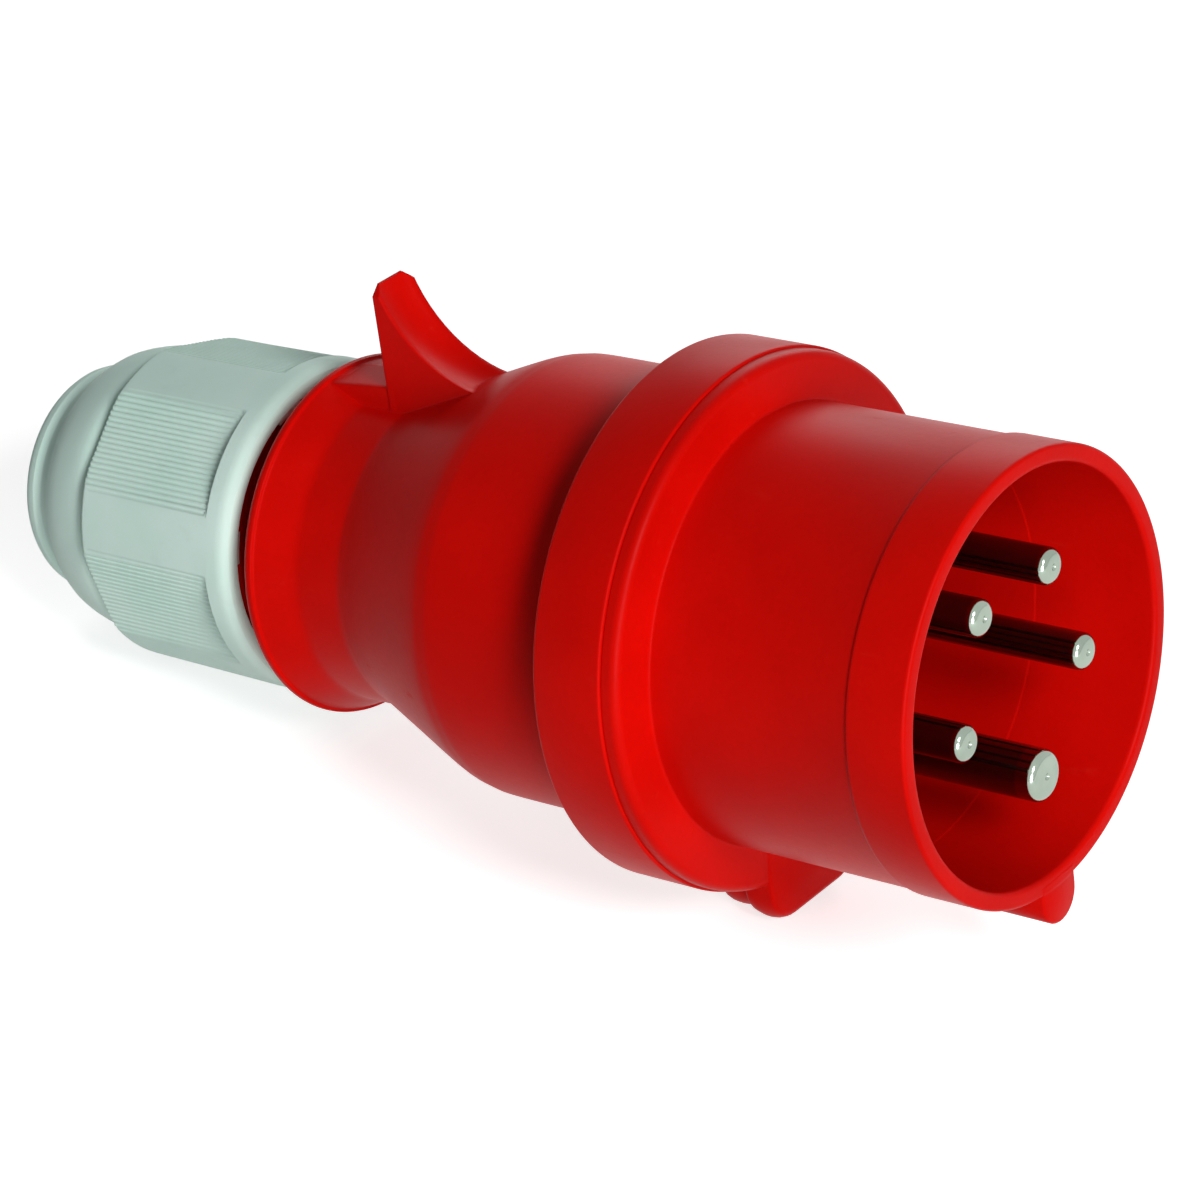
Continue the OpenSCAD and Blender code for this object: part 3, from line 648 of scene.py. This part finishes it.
# %% Thumb fin
hollow, hollow_radius = Vector((46.4, 80.73)), 19.6
fin_root, fin_tip, fin_back, fin_half = 20.4, 40.3, 99.96, 3.8
groove_half, groove_depth = 3.2, 0.75
edge_station, press_limit = 99.5, 99.75
corner_cut = 42.7
hollow_side = [(hollow.x - hollow_radius * cos(radians(a)),
                hollow.y + hollow_radius * sin(radians(a))) for a in range(0, 71, 5)]
fin_side = hollow_side + [(fin_tip, 99.36), (fin_tip, fin_back), (38.9, fin_back), (30, fin_back),
                          (fin_root, fin_back), (fin_root, 80.73)]
fin = bmesh.new()
fin_face = fin.faces.new([fin.verts.new((x, -fin_half, s)) for x, s in fin_side])
for across in (-groove_half, -2.7, -2.1, -1.1, 0, 1.1, 2.1, 2.7, groove_half, fin_half):
    fin_face = one_step(fin, fin_face, across == -groove_half)
    for corner in fin_face.verts:
        corner.co.y = across
# The points along the back edge stay, and nothing is pressed past them.
for corner in fin.verts:
    away = Vector((corner.co.x, corner.co.z)) - hollow
    if away.length < hollow_radius + 0.6 and corner.co.z < edge_station:
        press = groove_depth * max(1 - (abs(corner.co.y) / groove_half) ** 2, 0)
        away *= (away.length + press) / away.length
        corner.co.x, corner.co.z = hollow.x + away.x, min(hollow.y + away.y, press_limit)
bmesh.ops.recalc_face_normals(fin, faces=fin.faces[:])
for slant in (-1, 1):
    cut = bmesh.ops.bisect_plane(fin, geom=fin.verts[:] + fin.edges[:] + fin.faces[:],
                                 plane_co=(corner_cut, 0, 0), plane_no=(1, slant, 0),
                                 clear_outer=True, dist=1e-4)["geom_cut"]
    open_edges = [g for g in cut if isinstance(g, bmesh.types.BMEdge)]
    bmesh.ops.contextual_create(fin, geom=open_edges)
bmesh.ops.remove_doubles(fin, verts=fin.verts[:], dist=0.005)
join(rear_shell, fin, "thumb_fin")

# %% Web behind the fin, rear lug
web_half, web_top, web_root = 3.7, 25.6, 19.9
web_slope, web_level = 0.09, 99.5
web_outline = [(web_root, -web_half), (25.2, -web_half), (25.5, -3.55), (web_top, -3.25),
               (web_top, -2.9), (web_top, 2.9), (web_top, 3.25), (25.5, 3.55), (25.2, web_half),
               (web_root, web_half)]


def web_shape(x, y, station):
    """The top of the web drops a little towards the lip; its root stays in the shell."""
    sink = web_slope * max(0, station - web_level)
    return x - (sink if x > web_root + 1 else 0), y


drawn_out(rear_shell, web_outline, [98.9, 100, 103, 106, 108, 110.4], web_shape)
add_lug(rear_shell, foot=41.2, width=18, barrel=5, middle=46.8, first=44.05, last=49.5,
        soft_front=0.4, soft_back=1.6)
bmesh.ops.recalc_face_normals(rear_shell, faces=rear_shell.faces[:])
settle(rear_shell, "rear_shell", "plug", "red_shell", ["rear_housing"])

# %% [markdown]
# ## The pins
# Each pin is a turned rod with a rounded tip and the small dimple that the
# lathe's centre leaves. Behind the contact face it has a thicker root and a
# barrel with a bore for its wire. A pin is turned about the plug's axis and
# then moved to its place on the contact circle.

# %% Turn the pins
contact_circle = 14.1
tip_round = 1.15
root_front, barrel_front = 38, 44
bore_radius, bore_depth = 2.2, 11


def contact_pin(name, radius, tip, turn):
    """Turns a pin whose tip is at that station and stands it on the contact circle."""
    _, back = measured(name)
    dimple = [(0, tip + 0.42), (0.2, tip + 0.3), (0.42, tip + 0.06), (0.5, tip)]
    shoulder = radius - tip_round
    line = (dimple + [(shoulder, tip)] + arc((shoulder, tip + tip_round), tip_round, -80, 0, 8)
            + [(radius, root_front), (radius + 0.5, root_front), (radius + 0.5, barrel_front),
               (radius + 1.7, barrel_front), (radius + 1.7, back), (bore_radius, back),
               (bore_radius, back - bore_depth), (0, back - bore_depth)])
    rod = turned(line, 64)
    spot = (contact_circle * cos(radians(turn)), contact_circle * sin(radians(turn)), 0)
    bmesh.ops.translate(rod, verts=rod.verts[:], vec=spot)
    settle(rod, name + "_turned", "plug", "contact", [name])


for name, turn in (("pin_l1", 102.8), ("pin_l2", 34.3), ("pin_l3", -34.3), ("pin_n", -102.8)):
    contact_pin(name, radius=2.5, tip=1.7, turn=turn)
contact_pin("pin_pe", radius=3.5, tip=0.2, turn=180)

# %% [markdown]
# ## Floor and light
# A plain pale floor keeps a soft shadow under the plug. The floor and the
# walls of the studio look white to the camera and in the shine of the plug.
# To the light that bounces about they are much darker, so that the plug isn't
# washed out from below. Three soft lamps do the lighting: a small high one
# and a larger low one on the side of the rim, and a wide one behind.

# %% Floor
def for_the_eye(graph, bounced, shown):
    """Shown to the camera, in a shine and through glass too; bounced for all other light."""
    camera_ray, glossy_ray, clear_ray = (graph.add("ShaderNodeLightPath", out=f"Is {kind} Ray")
                                         for kind in ("Camera", "Glossy", "Transmission"))
    return graph.add("ShaderNodeMixShader", None,
                     {0: camera_ray | glossy_ray | clear_ray, 1: bounced, 2: shown})


ground = bmesh.new()
bmesh.ops.create_grid(ground, x_segments=8, y_segments=8, size=4.0)
floor_sheet = into_scene("studio_floor", mesh_from(ground, "studio_floor"))
paper = Finish("pale_paper", Base_Color=(0.55, 0.55, 0.55, 1), Roughness=0.95,
               Specular_IOR_Level=0.0)
grey_paper = Wire(paper, paper.shader.outputs[0])
white_paper = paper.add("ShaderNodeBsdfPrincipled", None, {
    "Base Color": (0.80, 0.80, 0.80, 1), "Roughness": 0.95, "Specular IOR Level": 0.0,
    "Emission Color": (1, 1, 1, 1), "Emission Strength": 0.68})
paper.show(for_the_eye(paper, grey_paper, white_paper), paper.tree.nodes["Material Output"])
floor_sheet.data.materials.append(paper.material)
print("floor is", [round(x, 1) for x in floor_sheet.dimensions])

# %% World
fill_light, seen_white = 0.11, 1.0
world = bpy.data.worlds.new("studio")
world.use_nodes = True
world.node_tree.nodes.clear()
bpy.context.scene.world = world
studio = Graph(world.node_tree)
walls = [studio.add("ShaderNodeBackground", None, {"Color": (1, 1, 1, 1), "Strength": strength})
         for strength in (fill_light, seen_white)]
studio.show(for_the_eye(studio, *walls), studio.tree.nodes.new("ShaderNodeOutputWorld"))
bpy.context.scene.view_settings.view_transform = "Standard"
print("fill light at", fill_light)

# %% Lamps
lit_spot = Vector((0, 0, 0.04))


def soft_lamp(name, where, size, power):
    """A round lamp that looks at the plug."""
    lamp = bpy.data.lights.new(name, "AREA")
    lamp.shape, lamp.size, lamp.energy = "DISK", size, power
    stand = into_scene(name, lamp)
    stand.location = where
    stand.rotation_euler = (lit_spot - Vector(where)).to_track_quat("-Z", "Y").to_euler()
    print(name, "of", power, "W,", size, "m across")


soft_lamp("high_lamp", (0.84, -0.43, 0.78), size=0.35, power=7.4)
soft_lamp("low_lamp", (0.95, -0.72, 0.24), size=0.6, power=7.6)
soft_lamp("back_lamp", (-0.45, 1.00, 0.50), size=0.8, power=5.0)
